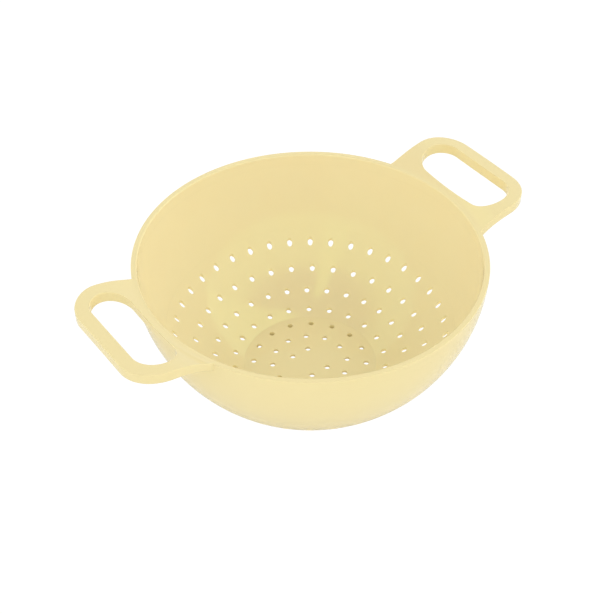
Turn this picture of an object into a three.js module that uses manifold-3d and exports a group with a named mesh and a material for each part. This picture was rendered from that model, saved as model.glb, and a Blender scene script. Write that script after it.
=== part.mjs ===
// A kitchen colander: a deep round bowl with drain holes in its floor and lower wall,
// a foot ring under the floor, and a loop handle on each side of the rim.
//
// The real object is one plastic moulding. It is built here as the features that its
// maker would name: foot ring, floor, perforated wall, plain wall, rim and two handles.
// Everything is in millimetres, with +Z up, the foot on Z = 0 and the handles along X.

import * as THREE from 'three';
import { mergeGeometries, mergeVertices } from 'three/addons/utils/BufferGeometryUtils.js';
import Module from 'manifold-3d';

const wasm = await Module();
wasm.setup();

// Bowl
const rimRadius = 120;
const rimWidth = 3.9;
const rimBand = 9;
const rimChamfer = 0.6;
const bowlDepth = 100.7;
const floorRadius = 47.7;
const floorThickness = 2.5;
// The inside and outside of the wall are two arcs, each centred close to the rim's level.
const insideCentreRise = -3.2;
const outsideCentreRise = 1;

// Foot ring
const footHeight = 7.8;
const footStep = 1.9;
const footWall = 3.3;
const footChamfer = 0.5;

// Drain holes: straight down through the moulding, in rows round the bowl's axis. Each is
// round in plan, and its radius grows on the way down by the draft share of its depth.
const holeDiameter = 3.75;
const holeDraftShare = 0.2;
const floorRowMargin = 6.9;
const wallRowMargin = 6.7;
const rimRowMargin = 20.9;
const plainMargin = 5.5;
// A row's turn is how far its first hole is turned from +X, as a share of the row's pitch.
// The middle row leaves its two holes on the handles' axis out.
const floorRows = [
  { count: 6, turnShare: 0, skipOnAxis: true },
  { count: 12, turnShare: 0 },
  { count: 16, turnShare: 1 / 3 },
];
const wallRows = [
  { count: 22, turnShare: 1 / 3 },
  { count: 28, turnShare: 1 / 3 },
  { count: 32, turnShare: 2 / 3 },
  { count: 38, turnShare: 2 / 3 },
];

// Loop handles: a bar of even width round a slot with round ends, arched up from the rim
const handleReach = 40.5;
const handleWidth = 96.4;
const handleBar = 9.5;
const handleThickness = 7.8;
const handleRise = 10.2;
const handleCrown = 34;
const slotSill = 2.4;

// Fits and cuts
const clearance = 0.3;
const overrun = 5;
const drillOverrun = 1.5;
const mergeDistance = 0.0001;

// How finely the round shapes are divided
const turnSegments = 64;
const holeSegments = 8;
const wallSegments = 6;
const archSegments = 8;
const cornerSegments = 6;

// Levels and radii that follow from the sizes above
const floorUnderside = footHeight;
const floorTop = floorUnderside + floorThickness;
const rimTop = floorTop + bowlDepth;
const rimUnderside = rimTop - rimBand;
const rimInsideRadius = rimRadius - rimWidth;
const footRadius = floorRadius + footStep;
const holeRadius = holeDiameter / 2;

// An arc in the profile plane through a low and a high point, whose centre is at a given
// rise above the high point. The profile plane is (distance from the axis, height).
function wallArc(low, high, centreRise) {
  const centreHeight = high.y + centreRise;
  const lowDrop = centreHeight - low.y;
  const spread = high.x ** 2 - low.x ** 2 + centreRise ** 2 - lowDrop ** 2;
  const centreDistance = spread / (2 * (high.x - low.x));
  const radius = Math.hypot(high.x - centreDistance, centreRise);
  const angleAt = (height) => Math.asin((height - centreHeight) / radius);
  const pointAt = (angle) => new THREE.Vector2(
    centreDistance + radius * Math.cos(angle),
    centreHeight + radius * Math.sin(angle),
  );
  const dropAt = (distance) => Math.sqrt(radius ** 2 - (distance - centreDistance) ** 2);
  const heightAt = (distance) => centreHeight - dropAt(distance);
  const slopeAt = (distance) => (distance - centreDistance) / dropAt(distance);
  return { angleAt, pointAt, heightAt, slopeAt };
}

const insideArc = wallArc(
  new THREE.Vector2(floorRadius, floorTop),
  new THREE.Vector2(rimInsideRadius, rimTop),
  insideCentreRise,
);
const outsideArc = wallArc(
  new THREE.Vector2(footRadius, floorUnderside),
  new THREE.Vector2(rimRadius, rimTop),
  outsideCentreRise,
);

// Row radii: the floor's rows divide the floor evenly, and the wall's rows are spread
// evenly from near the floor's edge to a margin inside the rim
const floorRowPitch = (floorRadius - floorRowMargin) / floorRows.length;
const floorRowRadius = (index) => floorRowPitch * (index + 1);
const wallRowStart = floorRadius + wallRowMargin;
const wallRowEnd = rimInsideRadius - rimRowMargin;
const wallRowPitch = (wallRowEnd - wallRowStart) / (wallRows.length - 1);
const wallRowRadius = (index) => wallRowStart + wallRowPitch * index;
const drainTop = insideArc.heightAt(wallRowEnd + plainMargin);

// Points along one side of the wall, from one height to another, in equal turns
function wallPoints(arc, fromHeight, toHeight) {
  const points = [];
  for (let step = 0; step <= wallSegments; step += 1) {
    const share = step / wallSegments;
    const angle = THREE.MathUtils.lerp(arc.angleAt(fromHeight), arc.angleAt(toHeight), share);
    points.push(arc.pointAt(angle));
  }
  return points;
}

// A closed solid from a three.js geometry, with shared vertices merged
function solidFrom(geometry) {
  geometry.deleteAttribute('normal');
  geometry.deleteAttribute('uv');
  const merged = mergeVertices(geometry, mergeDistance);
  const index = merged.index.array;
  const triangles = [];
  for (let corner = 0; corner < index.length; corner += 3) {
    const [a, b, c] = index.slice(corner, corner + 3);
    if (a !== b && b !== c && c !== a) {
      triangles.push(a, b, c);
    }
  }
  return new wasm.Manifold(new wasm.Mesh({
    numProp: 3,
    vertProperties: new Float32Array(merged.attributes.position.array),
    triVerts: new Uint32Array(triangles),
  }));
}

// A profile turned round the Z axis. Its points run anticlockwise, seen with the axis on
// the left and Z up, so that the faces point outwards.
function turned(profile) {
  const closed = [...profile, profile[0].clone()];
  const geometry = new THREE.LatheGeometry(closed, turnSegments);
  geometry.rotateX(Math.PI / 2);
  return solidFrom(geometry);
}

// The two sheets that are drilled: their faces and slope at a distance from the axis
const floorSheet = {
  topAt: () => floorTop,
  undersideAt: () => floorUnderside,
  slopeAt: () => 0,
};
const wallSheet = {
  topAt: insideArc.heightAt,
  undersideAt: outsideArc.heightAt,
  slopeAt: insideArc.slopeAt,
};

// One row of drills, as separate cones. A drill has the hole's radius at the sheet's top
// face and widens towards its underside, and its ends lean with the sheet.
function rowOfDrills(row, radius, sheet) {
  const pitch = (2 * Math.PI) / row.count;
  const top = sheet.topAt(radius);
  const underside = sheet.undersideAt(radius);
  const depth = top - underside;
  const ending = holeDraftShare * drillOverrun;
  const lean = new THREE.Matrix4().makeShear(0, sheet.slopeAt(radius), 0, 0, 0, 0);
  const drills = [];
  for (let index = 0; index < row.count; index += 1) {
    const angle = pitch * (index + row.turnShare);
    const onAxis = Math.abs(Math.sin(angle)) < Math.sin(pitch / 2);
    if (!(row.skipOnAxis && onAxis)) {
      const drill = new THREE.CylinderGeometry(
        holeRadius - ending,
        holeRadius + holeDraftShare * depth + ending,
        depth + 2 * drillOverrun,
        holeSegments,
      );
      drill.rotateX(Math.PI / 2);
      drill.applyMatrix4(lean);
      drill.translate(radius, 0, (top + underside) / 2);
      drill.rotateZ(angle);
      drills.push(drill);
    }
  }
  return drills;
}

function drillsFor(rows, radiusOf, sheet) {
  const drills = rows.flatMap((row, index) => rowOfDrills(row, radiusOf(index), sheet));
  return solidFrom(mergeGeometries(drills));
}

function footRing() {
  const inner = footRadius - footWall;
  return turned([
    new THREE.Vector2(inner + footChamfer, 0),
    new THREE.Vector2(footRadius - footChamfer, 0),
    new THREE.Vector2(footRadius, footChamfer),
    new THREE.Vector2(footRadius, floorUnderside),
    new THREE.Vector2(inner, floorUnderside),
    new THREE.Vector2(inner, footChamfer),
  ]);
}

function basePlate() {
  const disc = turned([
    new THREE.Vector2(0, floorUnderside),
    new THREE.Vector2(floorRadius, floorUnderside),
    new THREE.Vector2(floorRadius, floorTop),
    new THREE.Vector2(0, floorTop),
  ]);
  return disc.subtract(drillsFor(floorRows, floorRowRadius, floorSheet));
}

// The wall stands round the base plate, and its lower edge rests on the foot ring.
function drainWall() {
  const innerEdge = floorRadius + clearance;
  const wall = turned([
    new THREE.Vector2(innerEdge, floorUnderside),
    ...wallPoints(outsideArc, floorUnderside, drainTop),
    ...wallPoints(insideArc, drainTop, insideArc.heightAt(innerEdge)),
  ]);
  return wall.subtract(drillsFor(wallRows, wallRowRadius, wallSheet));
}

function upperWall() {
  return turned([
    ...wallPoints(outsideArc, drainTop, rimUnderside),
    ...wallPoints(insideArc, rimUnderside, drainTop),
  ]);
}

function rimRing() {
  const outsideAt = (height) => outsideArc.pointAt(outsideArc.angleAt(height));
  const insideAt = (height) => insideArc.pointAt(insideArc.angleAt(height));
  return turned([
    outsideAt(rimUnderside),
    outsideAt(rimTop - rimChamfer),
    new THREE.Vector2(rimRadius - rimChamfer, rimTop),
    new THREE.Vector2(rimInsideRadius + rimChamfer, rimTop),
    insideAt(rimTop - rimChamfer),
    insideAt(rimUnderside),
  ]);
}

// The arched flange that both handles are cut from: its top is an arc that leaves the
// rim's top edge and is level at the crown, and its underside is the same arc lowered.
function handleFlange() {
  const archRadius = (handleCrown ** 2 + handleRise ** 2) / (2 * handleRise);
  const crownRadius = rimRadius + handleCrown;
  const archCentre = rimTop + handleRise - archRadius;
  const archAt = (distance) => archCentre + Math.sqrt(archRadius ** 2 - (distance - crownRadius) ** 2);
  const start = rimRadius + clearance;
  const end = rimRadius + handleReach + overrun;
  const top = [];
  for (let step = 0; step <= archSegments; step += 1) {
    const distance = THREE.MathUtils.lerp(end, start, step / archSegments);
    top.push(new THREE.Vector2(distance, archAt(distance)));
  }
  const underside = top.map((point) => new THREE.Vector2(point.x, point.y - handleThickness));
  return turned([...underside.reverse(), ...top]);
}

// The finger slot: straight sides along the rim, joined by half circles
function slotPath(fromX, toX, halfLength) {
  const radius = (toX - fromX) / 2;
  const middle = (toX + fromX) / 2;
  const path = new THREE.Path();
  path.absarc(middle, halfLength - radius, radius, 0, Math.PI, false);
  path.absarc(middle, radius - halfLength, radius, Math.PI, 2 * Math.PI, false);
  path.closePath();
  return path;
}

// The loop's outline, seen from above: arms square to the rim, and outer corners that are
// concentric with the slot's ends. Its inner end lies inside the rim, where the flange
// that it is cut from has already stopped.
function handleOutline() {
  const halfWidth = handleWidth / 2;
  const endX = rimRadius + handleReach;
  const slotFromX = rimRadius + slotSill;
  const slotToX = endX - handleBar;
  const corner = (slotToX - slotFromX) / 2 + handleBar;
  const outline = new THREE.Shape();
  outline.moveTo(0, -halfWidth);
  outline.lineTo(endX - corner, -halfWidth);
  outline.absarc(endX - corner, corner - halfWidth, corner, -Math.PI / 2, 0, false);
  outline.absarc(endX - corner, halfWidth - corner, corner, 0, Math.PI / 2, false);
  outline.lineTo(0, halfWidth);
  outline.closePath();
  outline.holes.push(slotPath(slotFromX, slotToX, halfWidth - handleBar));
  const geometry = new THREE.ExtrudeGeometry(outline, {
    depth: rimTop + handleRise + overrun,
    bevelEnabled: false,
    curveSegments: cornerSegments,
  });
  return solidFrom(geometry);
}

function plasticFinish() {
  return new THREE.MeshStandardMaterial({ color: 0xf1e2ac, roughness: 0.28, metalness: 0 });
}

function meshOf(name, solid) {
  const { vertProperties, triVerts } = solid.getMesh();
  const geometry = new THREE.BufferGeometry();
  geometry.setAttribute('position', new THREE.BufferAttribute(new Float32Array(vertProperties), 3));
  geometry.setIndex(new THREE.BufferAttribute(new Uint32Array(triVerts), 1));
  geometry.computeVertexNormals();
  const mesh = new THREE.Mesh(geometry, plasticFinish());
  mesh.name = name;
  return mesh;
}

// Both handles are the same piece: the left one is the right one turned half round.
const handle = handleFlange().intersect(handleOutline());
const handleRight = meshOf('handle_right', handle);
const handleLeft = meshOf('handle_left', handle);
handleLeft.rotation.z = Math.PI;

const colander = new THREE.Group();
colander.add(
  meshOf('foot_ring', footRing()),
  meshOf('base_plate', basePlate()),
  meshOf('drain_wall', drainWall()),
  meshOf('upper_wall', upperWall()),
  meshOf('rim_ring', rimRing()),
  handleRight,
  handleLeft,
);

export default colander;
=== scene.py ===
# %% [markdown]
# # A colander, one surface at a time
# The real object is a single injection moulding in glossy, pale yellow plastic: a deep
# bowl with a perforated floor and lower wall, a foot ring, a thick rim and two loop
# handles. Nothing on it is assembled, so the work here is in its surfaces. Each feature
# of the moulding becomes one closed mesh, worked out as a formula on a grid of points.

# %% Load the frame
import math
import bmesh
import bpy
import numpy as np
from mathutils import Matrix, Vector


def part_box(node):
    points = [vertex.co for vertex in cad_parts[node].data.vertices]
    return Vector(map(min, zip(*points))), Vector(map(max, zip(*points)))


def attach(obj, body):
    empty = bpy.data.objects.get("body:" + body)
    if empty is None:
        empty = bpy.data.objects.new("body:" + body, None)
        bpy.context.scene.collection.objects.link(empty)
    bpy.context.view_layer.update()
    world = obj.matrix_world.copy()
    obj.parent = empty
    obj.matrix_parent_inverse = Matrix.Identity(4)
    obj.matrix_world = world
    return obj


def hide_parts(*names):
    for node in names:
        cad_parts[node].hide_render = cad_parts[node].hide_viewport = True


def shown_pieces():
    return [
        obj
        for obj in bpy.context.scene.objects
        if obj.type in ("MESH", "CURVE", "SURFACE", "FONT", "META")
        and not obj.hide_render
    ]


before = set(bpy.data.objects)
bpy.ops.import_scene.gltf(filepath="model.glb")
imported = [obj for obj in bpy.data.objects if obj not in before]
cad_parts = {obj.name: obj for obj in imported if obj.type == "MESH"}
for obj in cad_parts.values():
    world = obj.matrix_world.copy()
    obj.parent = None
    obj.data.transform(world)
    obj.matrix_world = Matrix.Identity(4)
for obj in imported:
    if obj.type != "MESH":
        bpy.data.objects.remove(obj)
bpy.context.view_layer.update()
BODY = "root"

# %% [markdown]
# ## Sizes
# The engineering model already says how large the colander is and where each feature
# starts and stops. Reading those values from it, rather than typing them again, keeps
# every surface where the model has it. All shapes below are worked out in millimetres,
# and turned into Blender's metres in one place only, when a mesh is made.

# %% Sizes read from the frame
MM = 0.001
SIZE_DECIMALS = 3


def highest(node):
    """The highest corner of a node's box, in millimetres."""
    return np.round(np.array(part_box(node)[1]) / MM, SIZE_DECIMALS)


def lowest(node):
    """The lowest corner of a node's box, in millimetres."""
    return np.round(np.array(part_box(node)[0]) / MM, SIZE_DECIMALS)


RIM_RADIUS, _, RIM_TOP = highest("rim_ring")
RIM_UNDERSIDE = lowest("rim_ring")[2]
FOOT_RADIUS, _, FLOOR_UNDERSIDE = highest("foot_ring")
FLOOR_RADIUS, _, FLOOR_TOP = highest("base_plate")
DRAIN_TOP = highest("drain_wall")[2]
HANDLE_END, HANDLE_HALF_WIDTH, HANDLE_TOP = highest("handle_right")
print("rim", RIM_RADIUS, RIM_TOP, "floor", FLOOR_RADIUS, FLOOR_TOP, "drain top", DRAIN_TOP)

# %% Sizes that the boxes don't give
RIM_WIDTH = 3.9
FOOT_WALL = 3.3
INSIDE_CENTRE_RISE = -3.2
OUTSIDE_CENTRE_RISE = 1.0
HANDLE_BAR = 9.5
HANDLE_THICKNESS = 7.8
HANDLE_CROWN = 34.0
SLOT_SILL = 2.4
HOLE_RADIUS = 1.875
HOLE_DRAFT_SHARE = 0.2

# %% [markdown]
# ## The bowl's two walls
# A moulded bowl has an inside from one half of the mould and an outside from the other.
# Both are arcs turned round the axis, with slightly different centres, which is how the
# wall comes out thicker at the floor than at the rim. The floor meets the wall in a crease
# that no mould leaves perfectly sharp, so the two heights are joined by a smooth maximum.

# %% The wall as two functions of the distance from the axis
CREASE_BLEND = 0.2


def wall_arc(low, high, centre_rise):
    """Centre distance, centre height and radius of the arc through two profile points.

    The centre lies centre_rise above the higher point, and is equally far from both.
    """
    centre_height = high[1] + centre_rise
    low_drop = centre_height - low[1]
    spread = high[0] ** 2 - low[0] ** 2 + centre_rise**2 - low_drop**2
    centre_distance = spread / (2 * (high[0] - low[0]))
    return centre_distance, centre_height, math.hypot(high[0] - centre_distance, centre_rise)


def arc_height(arc, distance):
    """Centre height minus the root of (radius squared minus squared distance to the centre)."""
    return arc[1] - np.sqrt(arc[2] ** 2 - (distance - arc[0]) ** 2)


def arc_distance(arc, height):
    """Centre distance plus the root of (radius squared minus squared drop below the centre)."""
    return arc[0] + np.sqrt(arc[2] ** 2 - (arc[1] - height) ** 2)


def smooth_max(first, second, width):
    """The larger value, plus (width minus their difference) squared over 4 widths near a tie."""
    overlap = np.maximum(width - np.abs(first - second), 0)
    return np.maximum(first, second) + overlap**2 / (4 * width)


INSIDE_ARC = wall_arc(
    (FLOOR_RADIUS, FLOOR_TOP), (RIM_RADIUS - RIM_WIDTH, RIM_TOP), INSIDE_CENTRE_RISE
)
OUTSIDE_ARC = wall_arc(
    (FOOT_RADIUS, FLOOR_UNDERSIDE), (RIM_RADIUS, RIM_TOP), OUTSIDE_CENTRE_RISE
)


def inside_height(distance):
    """The height of the bowl's inside: floor and inner arc, joined in a small crease."""
    return smooth_max(FLOOR_TOP, arc_height(INSIDE_ARC, distance), CREASE_BLEND)


def outside_height(distance):
    """The height of the bowl's underside: the floor's flat underside, then the outer arc."""
    return np.maximum(FLOOR_UNDERSIDE, arc_height(OUTSIDE_ARC, distance))


INSIDE_EDGE = float(arc_distance(INSIDE_ARC, DRAIN_TOP))
OUTSIDE_EDGE = float(arc_distance(OUTSIDE_ARC, DRAIN_TOP))
print("wall radii at the top of the drain wall", round(INSIDE_EDGE, 2), round(OUTSIDE_EDGE, 2))

# %% [markdown]
# ## From formulas to meshes
# A surface here is a patch: points on a grid, and the quads between them. Patches that
# share a border repeat its points exactly, so joining them and merging the doubles gives
# one closed skin. Blender then turns all faces outwards by itself. Faces that are hidden
# against the next piece are shaded flat, which keeps them from bending the normals of
# the visible surface at the border.

# %% Patches
TURN_POINTS = 256
EVEN_ANGLES = np.arange(TURN_POINTS) * (2 * math.pi / TURN_POINTS)


def grid_faces(rows, columns):
    """Quads between neighbouring rows of points. The last column meets the first again."""
    row_start = np.arange(rows - 1)[:, None] * columns
    here = np.arange(columns)
    there = (here + 1) % columns
    corners = [here, there, there + columns, here + columns]
    return np.stack([row_start + corner for corner in corners], axis=-1).reshape(-1, 4)


def turned_band(distances, heights, angles=EVEN_ANGLES, smooth=True):
    """A profile turned round the axis: x = d cos t, y = d sin t, z = h."""
    distances = np.asarray(distances, float)[:, None]
    x, y = distances * np.cos(angles), distances * np.sin(angles)
    z = np.broadcast_to(np.asarray(heights, float)[:, None], x.shape)
    points = np.stack([x, y, z], axis=-1).reshape(-1, 3)
    return points, grid_faces(len(distances), len(angles)), smooth


# %% [markdown]
# The material paints light let through the wall: a paler colour on the bowl's inside
# than on its outside, and a glow in the holes and under the floor.
# A material could find them from its coordinates alone, but the arcs would then have to be
# rebuilt out of nodes. It is simpler to work out a share for every vertex here, and to
# store it on the mesh as an attribute.

# %% Shares that the finish reads
MOUTH_MARGIN = 0.2


def inside_share(points):
    """1 on the bowl's inside and 0 on its outside: the share of the way up through the wall.

    Past the bowl's mouth, which is on the rim's top and on the handles, it is 0.
    """
    distance = np.hypot(points[:, 0], points[:, 1])
    mouth = RIM_RADIUS - RIM_WIDTH
    low, high = (side(np.minimum(distance, mouth)) for side in (outside_height, inside_height))
    share = np.clip((points[:, 2] - low) / (high - low), 0, 1)
    return np.where(distance > mouth + MOUTH_MARGIN, 0, share)


def under_share(points):
    """The share of the way down through the floor. It is 0 outside the foot ring's wall."""
    distance = np.hypot(points[:, 0], points[:, 1])
    share = np.clip((FLOOR_TOP - points[:, 2]) / (FLOOR_TOP - FLOOR_UNDERSIDE), 0, 1)
    return np.where(distance > FOOT_RADIUS - FOOT_WALL / 2, 0, share)


def write_shares(mesh):
    """Stores both shares of every vertex, for the material to read."""
    points = np.empty(3 * len(mesh.vertices))
    mesh.vertices.foreach_get("co", points)
    for share in (inside_share, under_share):
        layer = mesh.attributes.new(share.__name__, "FLOAT", "POINT")
        layer.data.foreach_set("value", share(points.reshape(-1, 3) / MM))


# %% One piece from its patches
WELD_DISTANCE = 0.0005


def piece_from(name, patches):
    """Joins patches, merges the points that they share and turns every face outwards."""
    offsets = np.cumsum([0] + [len(points) for points, _, _ in patches])
    points = np.concatenate([points for points, _, _ in patches]) * MM
    faces = []
    smooth = []
    for offset, (_, patch_faces, patch_smooth) in zip(offsets, patches):
        faces += (patch_faces + offset).tolist()
        smooth += [patch_smooth] * len(patch_faces)
    mesh = bpy.data.meshes.new(name)
    mesh.from_pydata(points, [], faces)
    mesh.polygons.foreach_set("use_smooth", smooth)
    skin = bmesh.new()
    skin.from_mesh(mesh)
    bmesh.ops.remove_doubles(skin, verts=skin.verts, dist=WELD_DISTANCE * MM)
    bmesh.ops.recalc_face_normals(skin, faces=skin.faces)
    open_edges = sum(not edge.is_manifold for edge in skin.edges)
    skin.to_mesh(mesh)
    skin.free()
    write_shares(mesh)
    piece = bpy.data.objects.new(name, mesh)
    bpy.context.scene.collection.objects.link(piece)
    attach(piece, BODY)
    print(f"{name}: {len(mesh.polygons)} faces, {open_edges} open edges")
    return piece


# %% [markdown]
# ## Rows of drain holes
# The holes are made by upright pins in the mould, so each one is a true circle seen from
# above, however steep the wall is there. The pins taper, so the hole widens on its way
# out. A boolean cut would leave long, thin faces round every hole, and they would
# show in a glossy finish. Instead the sheet is planned round the holes: each hole owns a
# cell of its row, and rings of points go from the cell's border in to the round hole, over
# a small rounded edge and down to the other side.

# %% One row of holes, as a patch
HOLE_POINTS = 32
CELL_HALF = 4.6
HOLE_EDGE = 0.25
BLEND_STEPS = 4
EDGE_STEPS = 3

HOLE_TURN = np.arange(HOLE_POINTS) * (2 * math.pi / HOLE_POINTS)
ACROSS, ALONG = np.cos(HOLE_TURN), np.sin(HOLE_TURN)
SQUARE_REACH = np.maximum(np.abs(ACROSS), np.abs(ALONG))


def hole_angles(count, turn_share):
    """The angle of each hole in a row: (index + turn share) of the row's pitch."""
    return (np.arange(count) + turn_share) * (2 * math.pi / count)


def cell_border(row_radius, count, angles):
    """A unit square bent round the axis: its sides are half a cell along and across the row."""
    radius = row_radius + CELL_HALF * ACROSS / SQUARE_REACH
    angle = angles[:, None] + (math.pi / count) * ALONG / SQUARE_REACH
    return np.stack([radius * np.cos(angle), radius * np.sin(angle)], axis=-1)


def cell_circle(row_radius, angles, radius):
    """A circle of the given radius round each hole's centre."""
    centre = row_radius * np.stack([np.cos(angles), np.sin(angles)], axis=-1)
    turned = angles[:, None] + HOLE_TURN
    return centre[:, None] + radius * np.stack([np.cos(turned), np.sin(turned)], axis=-1)


def sheet_points(plan, height_of, depth):
    """Lifts plan points to z = height of the surface at that distance, less the depth."""
    z = height_of(np.hypot(plan[..., 0], plan[..., 1])) - depth
    return np.concatenate([plan, z[..., None]], axis=-1)


def cells_patch(rings):
    """Rings of points round every hole, shaped (ring, hole, point, 3), as one patch."""
    ring_count, hole_count, point_count, _ = rings.shape
    points = np.moveaxis(rings, 0, 1).reshape(-1, 3)
    start = np.arange(hole_count)[:, None, None] * ring_count * point_count
    faces = grid_faces(ring_count, point_count) + start
    return points, faces.reshape(-1, 4), True


# %% Cells with a hole, and cells without
def hole_side(row_radius, count, angles, radius, height_of, sign):
    """One side of the sheet: from the border to the circle, and a quarter round into the bore.

    The quarter round has radius r + e (1 - sin t) at a depth of e (1 - cos t).
    """
    border = cell_border(row_radius, count, angles)
    mouth = cell_circle(row_radius, angles, radius + HOLE_EDGE)
    shares = np.linspace(0, 1, BLEND_STEPS, endpoint=False)
    rings = [sheet_points(border + (mouth - border) * share, height_of, 0) for share in shares]
    for turn in np.linspace(0, math.pi / 2, EDGE_STEPS + 1):
        circle = cell_circle(row_radius, angles, radius + HOLE_EDGE * (1 - math.sin(turn)))
        rings.append(sheet_points(circle, height_of, sign * HOLE_EDGE * (1 - math.cos(turn))))
    return rings


def holed_cells(row_radius, count, angles):
    """Cells with a hole: in along the inside, down the bore, and back out on the outside."""
    inside = hole_side(row_radius, count, angles, HOLE_RADIUS, inside_height, 1)
    depth = inside_height(row_radius) - outside_height(row_radius)
    mouth_radius = HOLE_RADIUS + HOLE_DRAFT_SHARE * depth
    outside = hole_side(row_radius, count, angles, mouth_radius, outside_height, -1)
    return [cells_patch(np.stack(inside + outside[::-1]))]


def plain_cells(row_radius, count, angles):
    """Cells without a hole: the same border, drawn in to the cell's middle on both sides."""
    border = cell_border(row_radius, count, angles)
    middle = cell_circle(row_radius, angles, 0)
    shares = np.linspace(0, 1, BLEND_STEPS + 1)
    plans = np.stack([border + (middle - border) * share for share in shares])
    return [cells_patch(sheet_points(plans, side, 0)) for side in (inside_height, outside_height)]


# %% [markdown]
# Neighbouring rows have different numbers of holes, so their borders have different
# numbers of points. A narrow strip of triangles zips them together: walking round both
# circles at once, each step goes forward on whichever circle is behind.

# %% The strip between two circles of points
def row_border_angles(count, angles):
    """The angles of the points on a row's inner or outer border, in order round the axis."""
    quarter = HOLE_POINTS // 4
    turn = (np.arange(quarter) - quarter / 2) * (2 * math.pi / HOLE_POINTS)
    border = angles[:, None] + (math.pi / count) * np.tan(turn)
    return np.sort(border.ravel() % (2 * math.pi))


def zipped_strip(inner_radius, inner_angles, outer_radius, outer_angles, height_of):
    """Triangles between two circles; the middles of all their steps, sorted, give the order."""
    circles = ((inner_radius, inner_angles), (outer_radius, outer_angles))
    plans = [r * np.stack([np.cos(a), np.sin(a)], axis=-1) for r, a in circles]
    points = sheet_points(np.concatenate(plans), height_of, 0)
    middles = [a + (np.roll(a, -1) - a) % (2 * math.pi) / 2 for _, a in circles]
    inner_count, outer_count = len(inner_angles), len(outer_angles)
    order = np.argsort(np.concatenate(middles), kind="stable")
    on_inner = (order < inner_count).astype(int)
    inner = np.cumsum(on_inner) - on_inner
    outer = np.cumsum(1 - on_inner) - (1 - on_inner)
    third = np.where(on_inner, (inner + 1) % inner_count, inner_count + (outer + 1) % outer_count)
    first, second = inner % inner_count, inner_count + outer % outer_count
    return points, np.stack([first, second, third], axis=-1), True


# %% [markdown]
# ## The rows
# Three rows sit in the flat floor and four in the wall, and each has its own number of
# holes and its own small turn. The floor's inner row has no holes on the handles' line.
# The row radii could be typed in. Worked out from the margins to the floor's edge and to
# the rim, they stay right when the bowl changes.

# %% Row radii, counts and turns
FLOOR_MARGIN = 6.9
WALL_MARGIN = 6.7
RIM_ROW_MARGIN = 20.9
FLOOR_ROWS = [(6, 0), (12, 0), (16, 1 / 3)]
WALL_ROWS = [(22, 1 / 3), (28, 1 / 3), (32, 2 / 3), (38, 2 / 3)]

floor_pitch = (FLOOR_RADIUS - FLOOR_MARGIN) / len(FLOOR_ROWS)
floor_radii = floor_pitch * np.arange(1, len(FLOOR_ROWS) + 1)
wall_radii = np.linspace(
    FLOOR_RADIUS + WALL_MARGIN, RIM_RADIUS - RIM_WIDTH - RIM_ROW_MARGIN, len(WALL_ROWS)
)


def row_patches(radii, rows, bare_row=None):
    """Every row's cells, and the strips that zip each row to the next on both sides."""
    patches = []
    borders = []
    for index, (radius, (count, turn_share)) in enumerate(zip(radii, rows)):
        angles = hole_angles(count, turn_share)
        on_line = np.abs(np.sin(angles)) < math.sin(math.pi / count)
        bare = on_line & (index == bare_row)
        patches += holed_cells(radius, count, angles[~bare])
        if bare.any():
            patches += plain_cells(radius, count, angles[bare])
        borders.append(row_border_angles(count, angles))
    for index in range(len(rows) - 1):
        inner, outer = radii[index] + CELL_HALF, radii[index + 1] - CELL_HALF
        for side in (inside_height, outside_height):
            strip = zipped_strip(inner, borders[index], outer, borders[index + 1], side)
            patches.append(strip)
    return patches, borders


print("floor rows at", np.round(floor_radii, 1), "wall rows at", np.round(wall_radii, 1))

# %% [markdown]
# ## The floor
# The floor is a flat disc. Its middle is a fan that closes on the axis, then
# come the three rows of cells, and a narrow ring takes the last border to its round edge.
# Rings close to each end of a surface, called support loops, hold its shading true there.

# %% Build the floor
SUPPORT = 0.1


def surface_band(distances, height_of, angles=EVEN_ANGLES):
    """A ring of the bowl's inside or outside between the given distances from the axis."""
    distances = np.asarray(distances, float)
    return turned_band(distances, height_of(distances), angles)


def floor_patches():
    """Fan, rows, outer ring and side of the floor disc."""
    patches, borders = row_patches(floor_radii, FLOOR_ROWS, bare_row=0)
    fan_edge = floor_radii[0] - CELL_HALF
    row_edge = floor_radii[-1] + CELL_HALF
    rings = FLOOR_RADIUS - SUPPORT * np.array([2, 1, 0])
    for side in (inside_height, outside_height):
        patches.append(surface_band([0, fan_edge / 2, fan_edge], side, borders[0]))
        patches.append(zipped_strip(row_edge, borders[-1], rings[0], EVEN_ANGLES, side))
        patches.append(surface_band(rings, side))
    edge_heights = [outside_height(FLOOR_RADIUS), inside_height(FLOOR_RADIUS)]
    patches.append(turned_band([FLOOR_RADIUS] * 2, edge_heights, smooth=False))
    return patches


floor_disc = piece_from("moulded_floor", floor_patches())
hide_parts("base_plate")

# %% [markdown]
# ## The drain wall
# The lower wall is the same kind of sheet, bent up into the bowl. Its inside and outside
# have the same plan, so the cells need no change: only the two height functions differ.

# %% Build the drain wall
WALL_RING_STEPS = 4


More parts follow.
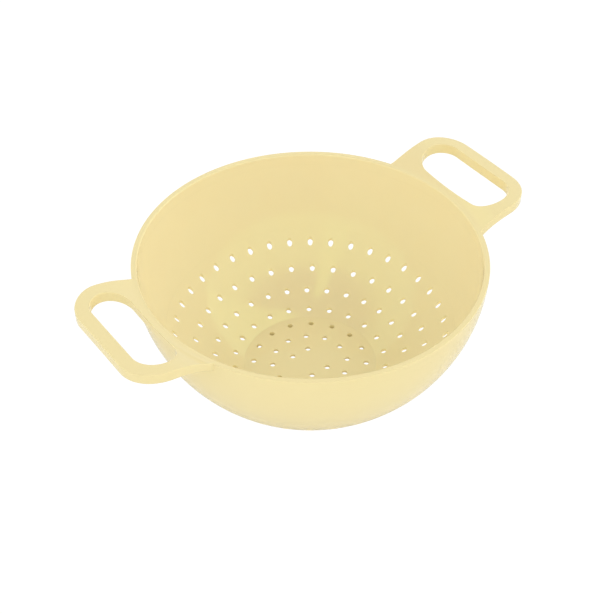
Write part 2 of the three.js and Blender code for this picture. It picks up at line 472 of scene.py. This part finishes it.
def drain_wall_patches():
    """Rows of holes between the floor's edge and the plain wall, closed at both ends."""
    patches, borders = row_patches(wall_radii, WALL_ROWS)
    first_edge = wall_radii[0] - CELL_HALF
    last_edge = wall_radii[-1] + CELL_HALF
    inside_start = FLOOR_RADIUS + SUPPORT * np.array([0, 1, 3, 6])
    inside_stop = INSIDE_EDGE - SUPPORT * np.array([2, 1, 0])
    outside_start = np.array([FLOOR_RADIUS, FOOT_RADIUS])
    outside_rings = np.linspace(last_edge + SUPPORT, OUTSIDE_EDGE - SUPPORT, WALL_RING_STEPS)
    outside_stop = np.append(outside_rings, OUTSIDE_EDGE)
    ends = [
        (inside_height, inside_start, inside_stop),
        (outside_height, outside_start, outside_stop),
    ]
    for side, start, stop in ends:
        patches.append(surface_band(start, side))
        patches.append(zipped_strip(start[-1], EVEN_ANGLES, first_edge, borders[0], side))
        patches.append(zipped_strip(last_edge, borders[-1], stop[0], EVEN_ANGLES, side))
        patches.append(surface_band(stop, side))
    inner_heights = [outside_height(FLOOR_RADIUS), inside_height(FLOOR_RADIUS)]
    patches.append(turned_band([FLOOR_RADIUS] * 2, inner_heights, smooth=False))
    patches.append(turned_band([INSIDE_EDGE, OUTSIDE_EDGE], [DRAIN_TOP] * 2, smooth=False))
    return patches


drain_wall = piece_from("moulded_drain_wall", drain_wall_patches())
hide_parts("drain_wall")

# %% [markdown]
# ## The plain wall
# Above the holes the wall is smooth, so a turned profile is enough. It is stepped evenly
# in height along both arcs, with a support loop at each end.

# %% Build the plain wall
PLAIN_STEPS = 36


def supported(start, stop, steps):
    """Even steps from start to stop, with one more value a little inside each end."""
    inset = math.copysign(SUPPORT, stop - start)
    even = np.linspace(start, stop, steps + 1)
    return np.concatenate([even[:1], [start + inset], even[1:-1], [stop - inset], even[-1:]])


def plain_wall_patches():
    """Both sides of the wall from the drain wall up to the rim, and its two hidden ends."""
    heights = supported(DRAIN_TOP, RIM_UNDERSIDE, PLAIN_STEPS)
    inside, outside = arc_distance(INSIDE_ARC, heights), arc_distance(OUTSIDE_ARC, heights)
    ends = [
        turned_band([inside[end], outside[end]], [heights[end]] * 2, smooth=False)
        for end in (0, -1)
    ]
    return [turned_band(inside, heights), turned_band(outside, heights), *ends]


plain_wall = piece_from("moulded_plain_wall", plain_wall_patches())
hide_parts("upper_wall")

# %% [markdown]
# ## The rim
# The rim has a flat top. Its outer edge, where the two halves of the mould meet, is almost
# sharp, and its inner edge is rounder. Both carry the thin bright line that the eye takes
# for the edge of a glossy plastic. A bevel would round both edges alike. A turned profile
# is as short to write, and gives each edge its own radius.

# %% Build the rim
RIM_ROUND = 0.35
RIM_INNER_ROUND = 1.0
RIM_STEPS = 8
ROUND_STEPS = 6


def quarter_round(centre, radius, start_turn, stop_turn):
    """Points on an arc: centre + radius (cos t, sin t), for t from start to stop."""
    turn = np.linspace(start_turn, stop_turn, ROUND_STEPS + 1)
    return centre[0] + radius * np.cos(turn), centre[1] + radius * np.sin(turn)


def rim_patches():
    """Up the outside, over the rounded edges and the flat top, down the inside."""
    outer_level, inner_level = RIM_TOP - RIM_ROUND, RIM_TOP - RIM_INNER_ROUND
    heights = supported(RIM_UNDERSIDE, outer_level, RIM_STEPS)[:-1]
    inner_heights = supported(RIM_UNDERSIDE, inner_level, RIM_STEPS)[:-1]
    outer_centre = (RIM_RADIUS - RIM_ROUND, outer_level)
    inner_edge = float(arc_distance(INSIDE_ARC, inner_level))
    inner_centre = (inner_edge + RIM_INNER_ROUND, inner_level)
    outer = quarter_round(outer_centre, RIM_ROUND, 0, math.pi / 2)
    inner = quarter_round(inner_centre, RIM_INNER_ROUND, math.pi / 2, math.pi)
    outside = arc_distance(OUTSIDE_ARC, heights)
    inside = arc_distance(INSIDE_ARC, inner_heights)
    flat = np.array([outer_centre[0] - SUPPORT, inner_centre[0] + SUPPORT])
    profile_distances = np.concatenate([outside, outer[0], flat, inner[0], inside[::-1]])
    profile_heights = np.concatenate(
        [heights, outer[1], [RIM_TOP] * len(flat), inner[1], inner_heights[::-1]]
    )
    hidden = turned_band([inside[0], outside[0]], [RIM_UNDERSIDE] * 2, smooth=False)
    return [turned_band(profile_distances, profile_heights), hidden]


rim = piece_from("moulded_rim", rim_patches())
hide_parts("rim_ring")

# %% [markdown]
# ## The foot ring
# A low ring under the floor keeps the holes clear of the worktop. It flares a little where
# it runs into the bowl, because plastic doesn't flow round a sharp inner corner. It is one
# more turned profile. Its top is hidden, sunk a little into the bowl's underside.

# %% Build the foot ring
FOOT_ROUND = 0.7
FOOT_FLARE = 1.6
FLARE_SINK = 0.15


def foot_patches():
    """The ring's profile, from its hidden top round its two rounded lower edges."""
    inner = FOOT_RADIUS - FOOT_WALL
    flare_centre = (FOOT_RADIUS + FOOT_FLARE, FLOOR_UNDERSIDE - FOOT_FLARE / 2)
    flare = quarter_round(flare_centre, FOOT_FLARE, math.pi, math.pi * 2 / 3)
    low_outer = quarter_round((FOOT_RADIUS - FOOT_ROUND, FOOT_ROUND), FOOT_ROUND, 0, -math.pi / 2)
    low_inner = quarter_round((inner + FOOT_ROUND, FOOT_ROUND), FOOT_ROUND, -math.pi / 2, -math.pi)
    end_height = outside_height(flare[0][-1]) + FLARE_SINK
    distances = [flare[0][-1:], flare[0][::-1], low_outer[0], low_inner[0], [inner]]
    heights = [[end_height], flare[1][::-1], low_outer[1], low_inner[1], [FLOOR_UNDERSIDE]]
    visible = turned_band(np.concatenate(distances), np.concatenate(heights))
    hidden = turned_band([inner, flare[0][-1]], [FLOOR_UNDERSIDE, end_height], smooth=False)
    return [visible, hidden]


foot = piece_from("moulded_foot_ring", foot_patches())
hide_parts("foot_ring")

# %% [markdown]
# ## The loop handles
# A handle is a bar of even width round a finger slot. Its top is arched: seen from the
# side it climbs from the rim and is level near its end. That height depends only on the
# distance from the bowl's axis, so the handle is a slice of an arched flange. It gets
# thinner and wider where it grows out of the rim. A flat plate could be cut to its outline
# and bent, but a cut leaves no even rows of points to round the edges with. So the bar is
# made as a closed cross-section carried round the slot, with its four edges rounded.

# %% The arch, as the top and the underside of the bar
ARCH_BLEND = 2.0
ROOT_SINK = 3.0
ROOT_LIFT = 0.02
ROOT_THINNING = 1.6
THINNING_REACH = 26.0

arch_rise = HANDLE_TOP - RIM_TOP
arch_radius = (HANDLE_CROWN**2 + arch_rise**2) / (2 * arch_rise)
arch_arc = (RIM_RADIUS + HANDLE_CROWN, HANDLE_TOP - arch_radius, arch_radius)


def arch_height(distance):
    """The arched flange: centre height plus the root of (radius squared minus run squared)."""
    return arch_arc[1] + np.sqrt(arch_arc[2] ** 2 - (distance - arch_arc[0]) ** 2)


def handle_top(distance):
    """The arch, running out level on the rim's flat top."""
    return smooth_max(RIM_TOP + ROOT_LIFT, arch_height(distance), ARCH_BLEND)


def fading(run, reach):
    """1 at the start of the run and 0 from its reach on: (1 - share of the reach) squared."""
    return (1 - np.clip(run / reach, 0, 1)) ** 2


def handle_underside(distance):
    """The same arch, one thickness lower, and raised a little near the rim."""
    thinning = ROOT_THINNING * fading(distance - RIM_RADIUS, THINNING_REACH)
    return arch_height(distance) - HANDLE_THICKNESS + thinning


# %% The slot, and the root of the handle in the rim
ROOT_FLARE = 1.3
FLARE_REACH = 18.0

slot_near = RIM_RADIUS + SLOT_SILL
slot_far = HANDLE_END - HANDLE_BAR
slot_round = (slot_far - slot_near) / 2
slot_middle = (slot_far + slot_near) / 2
slot_straight = HANDLE_HALF_WIDTH - HANDLE_BAR - slot_round
root_radius = RIM_RADIUS - ROOT_SINK
root_turn = math.asin((HANDLE_HALF_WIDTH + ROOT_FLARE) / root_radius)
print("slot", round(slot_far - slot_near, 1), "mm by", round(2 * (slot_straight + slot_round), 1))

# %% Matching points on the slot and on the handle's outline
STRAIGHT_STEPS = 16
CORNER_STEPS = 26
ARM_STEPS = 56
SILL_STEPS = 24
ARM_SHARE = 0.55


def shares(steps):
    """Even shares from 0 up to, but without, 1."""
    return np.linspace(0, 1, steps, endpoint=False)


def half_loop():
    """Slot points, outline points and their normals for the half of the bar with y above 0.

    It starts at the middle of the bar's far side and ends at the middle of the sill.
    """
    far = shares(STRAIGHT_STEPS)
    corner = shares(CORNER_STEPS) * (math.pi / 2)
    arm = shares(ARM_STEPS)
    sill = shares(SILL_STEPS)
    near = shares(STRAIGHT_STEPS + 1)
    arm_turn = math.pi / 2 * (1 + ARM_SHARE * arm)
    sill_turn = math.pi / 2 * (1 + ARM_SHARE + (1 - ARM_SHARE) * sill)
    turn = np.concatenate([0 * far, corner, arm_turn, sill_turn, math.pi + 0 * near])
    arc_count = CORNER_STEPS + ARM_STEPS + SILL_STEPS
    slot_y = slot_straight * np.concatenate([far, np.ones(arc_count), 1 - near])
    normal = np.stack([np.cos(turn), np.sin(turn)], axis=-1)
    slot = np.stack([slot_middle + 0 * turn, slot_y], axis=-1) + slot_round * normal

    sill_length = slot_round * math.pi / 2 * (1 - ARM_SHARE)
    sill_share = np.concatenate([sill_length * sill, sill_length + slot_straight * near])
    root_angle = root_turn * (1 - sill_share / (sill_length + slot_straight))
    root_normal = np.stack([-np.cos(root_angle), -np.sin(root_angle)], axis=-1)
    root_x = root_radius * math.cos(root_turn)
    arm_x = slot_middle + (root_x - slot_middle) * arm
    arm_y = HANDLE_HALF_WIDTH + ROOT_FLARE * fading(arm_x - root_x, FLARE_REACH)
    arm_points = np.stack([arm_x, arm_y], axis=-1)
    bar_count = STRAIGHT_STEPS + CORNER_STEPS
    bar_points = slot[:bar_count] + HANDLE_BAR * normal[:bar_count]
    outline = np.concatenate([bar_points, arm_points, -root_radius * root_normal])
    arm_normal = np.stack([0 * arm, 1 + 0 * arm], axis=-1)
    outline_normal = np.concatenate([normal[:bar_count], arm_normal, root_normal])
    return slot, normal, outline, outline_normal


# %% [markdown]
# The other half of the loop is the same with y turned over. Its points are taken in the
# opposite order, so that the whole loop runs on in one direction.

# %% The cross-section, carried round the loop
TOP_ROUND = 0.5
UNDER_ROUND = 0.5
OUTER_UNDER_ROUND = 1.2
ACROSS_STEPS = 26


def mirrored(half):
    """The half loop followed by its mirror image in the X axis, taken backwards."""
    return np.concatenate([half, (half * [1, -1])[:0:-1]])


def corner_offsets(radius):
    """Inset and drop along a quarter round: radius (1 - sin t) and radius (1 - cos t)."""
    turn = np.linspace(math.pi / 2, 0, ROUND_STEPS + 1)
    return radius * (1 - np.sin(turn)), radius * (1 - np.cos(turn))


def bar_edge(edge, inward, height_of, radius, sign):
    """One rounded edge of the bar, as rows of points from its side to its top or underside."""
    inset, drop = corner_offsets(radius)
    plan = edge + inset[:, None, None] * inward
    return sheet_points(plan, height_of, sign * drop[:, None])


def bar_face(start, stop, height_of):
    """Rows of points across the top or underside, between two rounded edges."""
    share = np.linspace(0, 1, ACROSS_STEPS + 1)[1:-1, None, None]
    return sheet_points(start + (stop - start) * share, height_of, 0)


def inward_from(outline, outward, slot):
    """Steps towards the slot's matching points, as long as one step square to the outline."""
    towards = slot - outline
    return towards / -np.sum(towards * outward, axis=-1, keepdims=True)


def handle_points():
    """Rows round the bar's cross-section, each with one point for every step of the loop."""
    slot, normal, outline, outward = (mirrored(part) for part in half_loop())
    inward = inward_from(outline, outward, slot)
    slot_top, outline_top = slot + TOP_ROUND * normal, outline + TOP_ROUND * inward
    slot_low, outline_low = slot + UNDER_ROUND * normal, outline + OUTER_UNDER_ROUND * inward
    return np.concatenate(
        [
            bar_edge(slot, normal, handle_top, TOP_ROUND, 1),
            bar_face(slot_top, outline_top, handle_top),
            bar_edge(outline, inward, handle_top, TOP_ROUND, 1)[::-1],
            bar_edge(outline, inward, handle_underside, OUTER_UNDER_ROUND, -1),
            bar_face(outline_low, slot_low, handle_underside),
            bar_edge(slot, normal, handle_underside, UNDER_ROUND, -1)[::-1],
        ]
    )


def handle_patch(points):
    """The rows as one patch that closes on itself both ways."""
    closed = np.concatenate([points, points[:1]])
    return closed.reshape(-1, 3), grid_faces(len(closed), closed.shape[1]), True


# %% Build both handles
HALF_TURN = np.array([-1, -1, 1])
right_points = handle_points()
for side, points in (("right", right_points), ("left", right_points * HALF_TURN)):
    handle = piece_from(f"moulded_handle_{side}", [handle_patch(points)])
    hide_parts(f"handle_{side}")

# %% [markdown]
# ## The finish
# The plastic is a glossy polypropylene, moulded against polished steel. That gives the eye
# a clean but not mirror-sharp reflection, and faint flow marks where the melt cooled
# unevenly. The wall is thin enough to let some light through. That light is painted: the
# inside, which is also lit through the wall, is painted paler than the outside, and a soft
# glow is painted in the holes and the space under the floor, where an opaque plastic would
# look dark. Scattered light could be traced inside the wall for that, but it is slow and
# noisy. Two stored shares do as well.

# %% Colour and node helpers
def linear(hex_colour):
    """An sRGB hex value as linear RGBA: c / 12.92 when dark, else ((c + 0.055) / 1.055) ** 2.4."""
    parts = [int(hex_colour[place:place + 2], 16) / 255 for place in (0, 2, 4)]
    curve = [c / 12.92 if c <= 0.04045 else ((c + 0.055) / 1.055) ** 2.4 for c in parts]
    return (*curve, 1.0)


def add_node(tree, kind, inputs=None, **settings):
    """Adds a node. Each input is a value, or another node's output to link."""
    node = tree.nodes.new(kind)
    for name, value in settings.items():
        setattr(node, name, value)
    for socket, value in (inputs or {}).items():
        if isinstance(value, bpy.types.NodeSocket):
            tree.links.new(value, node.inputs[socket])
        else:
            node.inputs[socket].default_value = value
    return node


def two_colours(tree, factor, first, second):
    """Mixes two colours, each a hex value or another node's output, by a factor from 0 to 1.

    The mix node's sockets 6 and 7 are its two colours, and its output 2 is the mixed one.
    """
    first, second = (linear(c) if isinstance(c, str) else c for c in (first, second))
    inputs = {"Factor": factor, 6: first, 7: second}
    return add_node(tree, "ShaderNodeMix", inputs, data_type="RGBA").outputs[2]


def product(tree, first, second):
    """Two masks multiplied: 1 only where both are."""
    node = add_node(tree, "ShaderNodeMath", {0: first, 1: second}, operation="MULTIPLY")
    return node.outputs["Value"]


def blank_material(name):
    """A material with an empty node tree and its output node."""
    material = bpy.data.materials.new(name)
    material.use_nodes = True
    material.node_tree.nodes.clear()
    return material, add_node(material.node_tree, "ShaderNodeOutputMaterial")


# %% Light let through the plastic
LIGHT_THROUGH = 0.13


def light_through(tree, place, share):
    """Light that the plastic lets through, painted as a glow under the floor and in the holes.

    Down a hole the inside share s runs from 1 to 0, so 4 s (1 - s) is a band round its wall.
    The rim's top has such a band as well, which the height keeps dark.
    """
    rest = add_node(tree, "ShaderNodeMath", {0: 1.0, 1: share}, operation="SUBTRACT")
    height = add_node(tree, "ShaderNodeSeparateXYZ", {"Vector": place}).outputs["Z"]
    low = add_node(
        tree, "ShaderNodeMath", {0: height, 1: DRAIN_TOP * MM}, operation="LESS_THAN"
    ).outputs["Value"]
    holes = product(tree, product(tree, share, rest.outputs["Value"]), low)
    under = add_node(tree, "ShaderNodeAttribute", attribute_name="under_share").outputs["Fac"]
    both = add_node(
        tree, "ShaderNodeMath", {0: holes, 1: 4.0, 2: under}, operation="MULTIPLY_ADD"
    ).outputs["Value"]
    return product(tree, both, LIGHT_THROUGH)


# %% Gloss moulded polypropylene
FLOW_SPACING = 34.0
RIPPLE_SPACING = 26.0
RIPPLE_HEIGHT = 0.4
PEEL_SPACING = 1.6
PEEL_HEIGHT = 0.01


def per_metre(spacing):
    """A noise scale from the spacing of its marks in millimetres."""
    return 1 / (spacing * MM)


def gloss_polypropylene():
    """Painted paler inside than outside, as light let through the wall, with flow marks, and
    polished with a slight ripple.

    The refractive index is that of the plain plastic. Its gloss is a little stronger than
    that index gives, and leans to green, as the reflections on the real bowl do.
    """
    material, output = blank_material("gloss_moulded_polypropylene")
    tree = material.node_tree
    place = add_node(tree, "ShaderNodeTexCoord").outputs["Object"]
    flow = add_node(
        tree,
        "ShaderNodeTexNoise",
        {"Vector": place, "Scale": per_metre(FLOW_SPACING), "Detail": 3.0, "Distortion": 0.6},
    )
    marks = flow.outputs["Fac"]
    # Painted light: the inside colour is painted paler than the outside, for light let through the
    # wall.
    inside = two_colours(tree, marks, "F7E9C0", "F7E6BA")
    outside = two_colours(tree, marks, "F0DEAC", "F0DCA8")
    share = add_node(tree, "ShaderNodeAttribute", attribute_name="inside_share").outputs["Fac"]
    colour = two_colours(tree, share, outside, inside)
    polish = add_node(
        tree, "ShaderNodeMapRange", {"Value": marks, "To Min": 0.05, "To Max": 0.08}
    )
    ripple = add_node(
        tree,
        "ShaderNodeTexNoise",
        {"Vector": place, "Scale": per_metre(RIPPLE_SPACING), "Detail": 1.0},
    )
    peel = add_node(
        tree,
        "ShaderNodeTexNoise",
        {"Vector": place, "Scale": per_metre(PEEL_SPACING), "Detail": 2.0},
    )
    wave = add_node(
        tree,
        "ShaderNodeBump",
        {"Height": ripple.outputs["Fac"], "Distance": RIPPLE_HEIGHT * MM, "Strength": 0.02},
    )
    skin = add_node(
        tree,
        "ShaderNodeBump",
        {
            "Height": peel.outputs["Fac"],
            "Distance": PEEL_HEIGHT * MM,
            "Strength": 0.12,
            "Normal": wave.outputs["Normal"],
        },
    )
    shader = add_node(
        tree,
        "ShaderNodeBsdfPrincipled",
        {
            "Base Color": colour,
            "Roughness": polish.outputs["Result"],
            "Normal": skin.outputs["Normal"],
            "IOR": 1.49,
            "Specular IOR Level": 0.8,
            "Specular Tint": linear("D8FF7C"),
            "Emission Color": linear("EEE2AE"),
            "Emission Strength": light_through(tree, place, share),
        },
    )
    tree.links.new(shader.outputs["BSDF"], output.inputs["Surface"])
    return material


plastic = gloss_polypropylene()
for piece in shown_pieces():
    piece.data.materials.clear()
    piece.data.materials.append(plastic)

# %% [markdown]
# ## The stage
# The picture of the real colander is cut out on pure white: no shadow, and white in every
# hole. A light table can't give that, because its light would also glow up through the
# floor. So the table is an ordinary pale sheet for the light and the reflections, and
# shows as plain white only to the camera. A Light Path node tells the two apart.

# %% Table
TABLE_HALF = 3000.0
TABLE_WHITE = 1.05


def cut_out_table():
    """A large square at z = 0: matt white for the light, glowing white for the camera."""
    corners = np.array([[-1, -1, 0], [1, -1, 0], [1, 1, 0], [-1, 1, 0]]) * TABLE_HALF * MM
    mesh = bpy.data.meshes.new("cut_out_table")
    mesh.from_pydata(corners, [], [(0, 1, 2, 3)])
    table = bpy.data.objects.new("cut_out_table", mesh)
    bpy.context.scene.collection.objects.link(table)
    material, output = blank_material("matt_white_board")
    tree = material.node_tree
    matt = add_node(
        tree,
        "ShaderNodeBsdfPrincipled",
        {"Base Color": linear("F2F2F0"), "Roughness": 0.7},
    )
    white = add_node(
        tree,
        "ShaderNodeEmission",
        {"Color": linear("FFFFFF"), "Strength": TABLE_WHITE},
    )
    path = add_node(tree, "ShaderNodeLightPath")
    seen = add_node(
        tree,
        "ShaderNodeMixShader",
        {0: path.outputs["Is Camera Ray"], 1: matt.outputs["BSDF"], 2: white.outputs["Emission"]},
    )
    tree.links.new(seen.outputs["Shader"], output.inputs["Surface"])
    mesh.materials.append(material)
    return table


cut_out_table()

# %% [markdown]
# The plastic is glossy, so the room can be read in it. A paler disc on the back of the
# inside is where the gloss looks out through the mouth of the bowl. Two brighter wedges
# in it are lamps: a broad soft box to the right and a narrow strip behind the camera. The
# wall behind the bowl and the ceiling right above it are dimmer than the rest. Lamps could
# be set up as objects, but then each would need its distance as well. All of this is
# painted on the world by direction, where it lights the bowl and shows in its gloss.

# %% The parts of the room
def cosines(*angles):
    """The cosine of each angle, which is the height of a direction that far from upright."""
    return tuple(math.cos(math.radians(angle)) for angle in angles)


ROOM_LIGHT = 1.24
CEILING_LIGHT = 0.42
BACK_LIGHT = 0.86
SOFT_BOX_LIGHT = 1.62
STRIP_LIGHT = 1.6
# Where each level edge starts and ends, in degrees from upright
CEILING_EDGE = cosines(44, 26)
LAMP_TOP = cosines(6, 12)
STRIP_FOOT = cosines(74, 66)
# Compass heading of the middle of each part of the room, and half of its width, in degrees
BACK_PLACE = (53.5, 30.0)
SOFT_BOX_PLACE = (-3.5, 27.0)
STRIP_PLACE = (-145.8, 9.5)
EDGE_SOFTNESS = 2.0

# %% Masks by direction
def smooth_step(tree, value, edges):
    """0 at the first edge and before it, 1 from the second on, and a smooth step between."""
    step = add_node(
        tree,
        "ShaderNodeMapRange",
        {"Value": value, "From Min": edges[0], "From Max": edges[1]},
        interpolation_type="SMOOTHSTEP",
    )
    return step.outputs["Result"]


def sector(tree, compass, place):
    """1 where the level direction is within half a width of the heading, by their dot product."""
    heading, half_width = place
    turn = math.radians(heading)
    facing = add_node(
        tree,
        "ShaderNodeVectorMath",
        {0: compass, 1: (math.cos(turn), math.sin(turn), 0)},
        operation="DOT_PRODUCT",
    )
    edges = cosines(half_width + EDGE_SOFTNESS, half_width - EDGE_SOFTNESS)
    return smooth_step(tree, facing.outputs["Value"], edges)


def blend(tree, mask, below, above):
    """The first value where the mask is 0 and the second where it is 1."""
    node = add_node(tree, "ShaderNodeMix", {"Factor": mask, "A": below, "B": above})
    return node.outputs["Result"]


# %% Studio light
def studio_world():
    """The room by direction: walls, dim back wall and ceiling, then the two lamps over them."""
    world = bpy.data.worlds.new("white_studio")
    bpy.context.scene.world = world
    world.use_nodes = True
    tree = world.node_tree
    tree.nodes.clear()
    output = add_node(tree, "ShaderNodeOutputWorld")
    way = add_node(tree, "ShaderNodeTexCoord").outputs["Generated"]
    height = add_node(tree, "ShaderNodeSeparateXYZ", {"Vector": way}).outputs["Z"]
    level = add_node(tree, "ShaderNodeVectorMath", {0: way, 1: (1, 1, 0)}, operation="MULTIPLY")
    compass = add_node(
        tree, "ShaderNodeVectorMath", {0: level.outputs["Vector"]}, operation="NORMALIZE"
    ).outputs["Vector"]
    under_lamp_top = smooth_step(tree, height, LAMP_TOP)
    over_strip_foot = smooth_step(tree, height, STRIP_FOOT)
    soft_box = product(tree, sector(tree, compass, SOFT_BOX_PLACE), under_lamp_top)
    strip = product(tree, sector(tree, compass, STRIP_PLACE), under_lamp_top)
    strip = product(tree, strip, over_strip_foot)
    light = blend(tree, sector(tree, compass, BACK_PLACE), ROOM_LIGHT, BACK_LIGHT)
    light = blend(tree, smooth_step(tree, height, CEILING_EDGE), light, CEILING_LIGHT)
    light = blend(tree, soft_box, light, SOFT_BOX_LIGHT)
    light = blend(tree, strip, light, STRIP_LIGHT)
    background = add_node(
        tree, "ShaderNodeBackground", {"Color": linear("FFFFFF"), "Strength": light}
    )
    tree.links.new(background.outputs["Background"], output.inputs["Surface"])
    return world


world = studio_world()
print("light painted on the world", world.name)
bpy.context.scene.view_settings.view_transform = "Standard"

# %% [markdown]
# ## The camera
# A camera could be aimed by eye until the view looks right. This one was worked out: the
# rows of round holes have a known plan, and the way they look in the picture fixes the
# camera's place, its tilt and its lens.

# %% Camera
CAMERA_PLACE = (-380.8, -515.2, 643.1)
CAMERA_HEADING = math.radians(-36.46)
CAMERA_PITCH = math.radians(42.126)
CAMERA_YAW = math.radians(-0.142)
CAMERA_ROLL = math.radians(0.233)
CAMERA_LENS = 72.71

camera_data = bpy.data.cameras.new("camera")
camera_data.sensor_width = 36
camera_data.lens = CAMERA_LENS
camera = bpy.data.objects.new("camera", camera_data)
bpy.context.scene.collection.objects.link(camera)
turns = [
    Matrix.Rotation(CAMERA_HEADING, 4, "Z"),
    Matrix.Rotation(math.pi / 2 - CAMERA_PITCH, 4, "X"),
    Matrix.Rotation(-CAMERA_YAW, 4, "Y"),
    Matrix.Rotation(CAMERA_ROLL, 4, "Z"),
]
place = Matrix.Translation([value * MM for value in CAMERA_PLACE])
camera.matrix_world = place @ turns[0] @ turns[1] @ turns[2] @ turns[3]
bpy.context.scene.camera = camera
print("camera at", CAMERA_PLACE, "mm, with a lens of", CAMERA_LENS, "mm")
